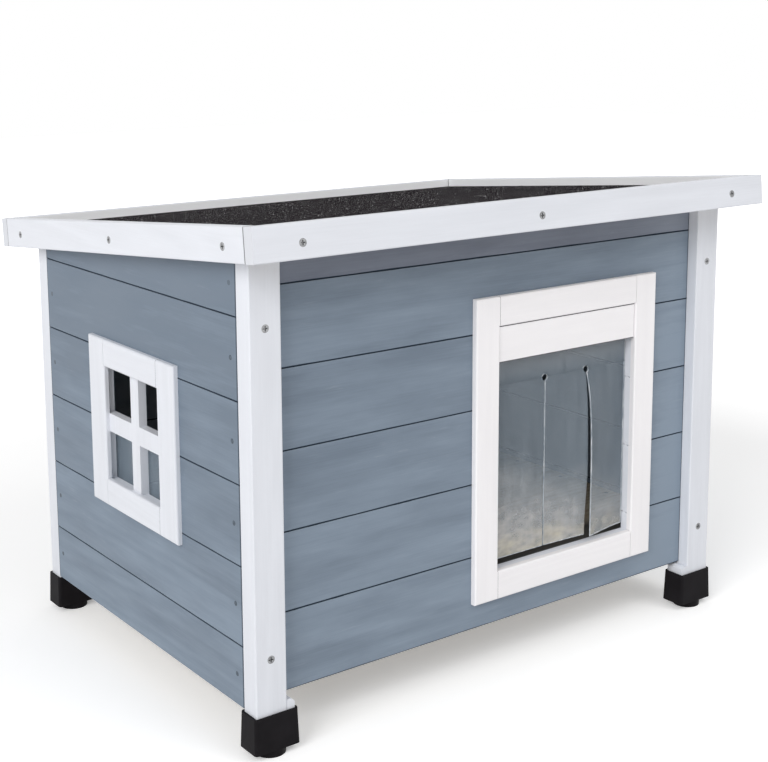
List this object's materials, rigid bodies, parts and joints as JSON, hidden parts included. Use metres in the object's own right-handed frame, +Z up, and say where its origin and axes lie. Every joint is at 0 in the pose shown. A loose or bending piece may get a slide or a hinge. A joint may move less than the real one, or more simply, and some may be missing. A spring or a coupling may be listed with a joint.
{
  "type": "wooden cat house",
  "caption": "Raised wooden cat house of painted boards with a sloping felt roof tray that lifts on rear hinges, a slit clear flap door, a side window and plastic foot caps.",
  "frame": {"origin": "on the ground under the middle of the roof tray's outline, at the level of the foot pads", "axes": "+X along the front from the window wall to the plain wall, +Y from the door to the back, +Z up"},
  "size_m": [0.5918, 0.4918, 0.4548],
  "materials": {
    "blue_paint": "satin grey-blue stain on pine boards",
    "white_paint": "satin white paint on pine",
    "bare_wood": "bare planed pine",
    "roof_felt": "black mineral-faced roofing felt",
    "black_plastic": "moulded black plastic",
    "clear_pvc": "clear soft PVC sheet",
    "clear_acrylic": "clear acrylic sheet",
    "zinc_steel": "zinc-plated steel"
  },
  "bodies": {
    "house": {"back_board_1": "blue_paint", "back_board_2": "blue_paint", "back_board_3": "blue_paint", "back_board_4": "blue_paint", "back_board_5": "blue_paint", "corner_battens": "bare_wood", "door_bottom_rail": "white_paint", "door_stile_left": "white_paint", "door_stile_right": "white_paint", "door_top_rail": "white_paint", "flap_header": "clear_pvc", "flap_rail": "white_paint", "floor_boards": "bare_wood", "floor_cleats": "bare_wood", "foot_caps": "black_plastic", "front_board_1": "blue_paint", "front_board_2": "blue_paint", "front_board_3": "blue_paint", "front_board_4": "blue_paint", "front_board_5": "blue_paint", "front_board_6": "blue_paint", "hinge_pins": "zinc_steel", "hinge_wall_leaves": "zinc_steel", "left_board_1": "blue_paint", "left_board_2": "blue_paint", "left_board_3": "blue_paint", "left_board_4": "blue_paint", "left_board_5": "blue_paint", "left_board_6": "blue_paint", "leg_packers": "white_paint", "post_back_left": "white_paint", "post_back_right": "white_paint", "post_front_left": "white_paint", "post_front_right": "white_paint", "post_screws": "zinc_steel", "right_board_1": "blue_paint", "right_board_2": "blue_paint", "right_board_3": "blue_paint", "right_board_4": "blue_paint", "right_board_5": "blue_paint", "right_board_6": "blue_paint", "wall_nails": "zinc_steel", "window_bottom_rail": "white_paint", "window_cross": "white_paint", "window_pane": "clear_acrylic", "window_stile_back": "white_paint", "window_stile_front": "white_paint", "window_top_rail": "white_paint"},
    "roof": {"roof_deck": "bare_wood", "roof_felt": "roof_felt", "roof_trim_front": "white_paint", "roof_trim_back": "white_paint", "roof_trim_left": "white_paint", "roof_trim_right": "white_paint", "roof_screws": "zinc_steel", "hinge_roof_leaves": "zinc_steel"},
    "flap_strip_left": {"flap_strip_left": "clear_pvc"},
    "flap_strip_middle": {"flap_strip_middle": "clear_pvc"},
    "flap_strip_right": {"flap_strip_right": "clear_pvc"}
  },
  "joints": [
    {"name": "roof_hinge", "type": "hinge", "parent": "house", "child": "roof", "pos_m": [0, 0.20414, 0.38807], "axis": [-1, 0, 0], "range_deg": [0, 75]},
    {"name": "flap_strip_left_swing", "type": "hinge", "parent": "house", "child": "flap_strip_left", "pos_m": [0.0796, -0.18687, 0.273], "axis": [1, 0, 0], "range_deg": [-75, 75]},
    {"name": "flap_strip_middle_swing", "type": "hinge", "parent": "house", "child": "flap_strip_middle", "pos_m": [0.0796, -0.18687, 0.273], "axis": [1, 0, 0], "range_deg": [-75, 75]},
    {"name": "flap_strip_right_swing", "type": "hinge", "parent": "house", "child": "flap_strip_right", "pos_m": [0.0796, -0.18687, 0.273], "axis": [1, 0, 0], "range_deg": [-75, 75]}
  ]
}
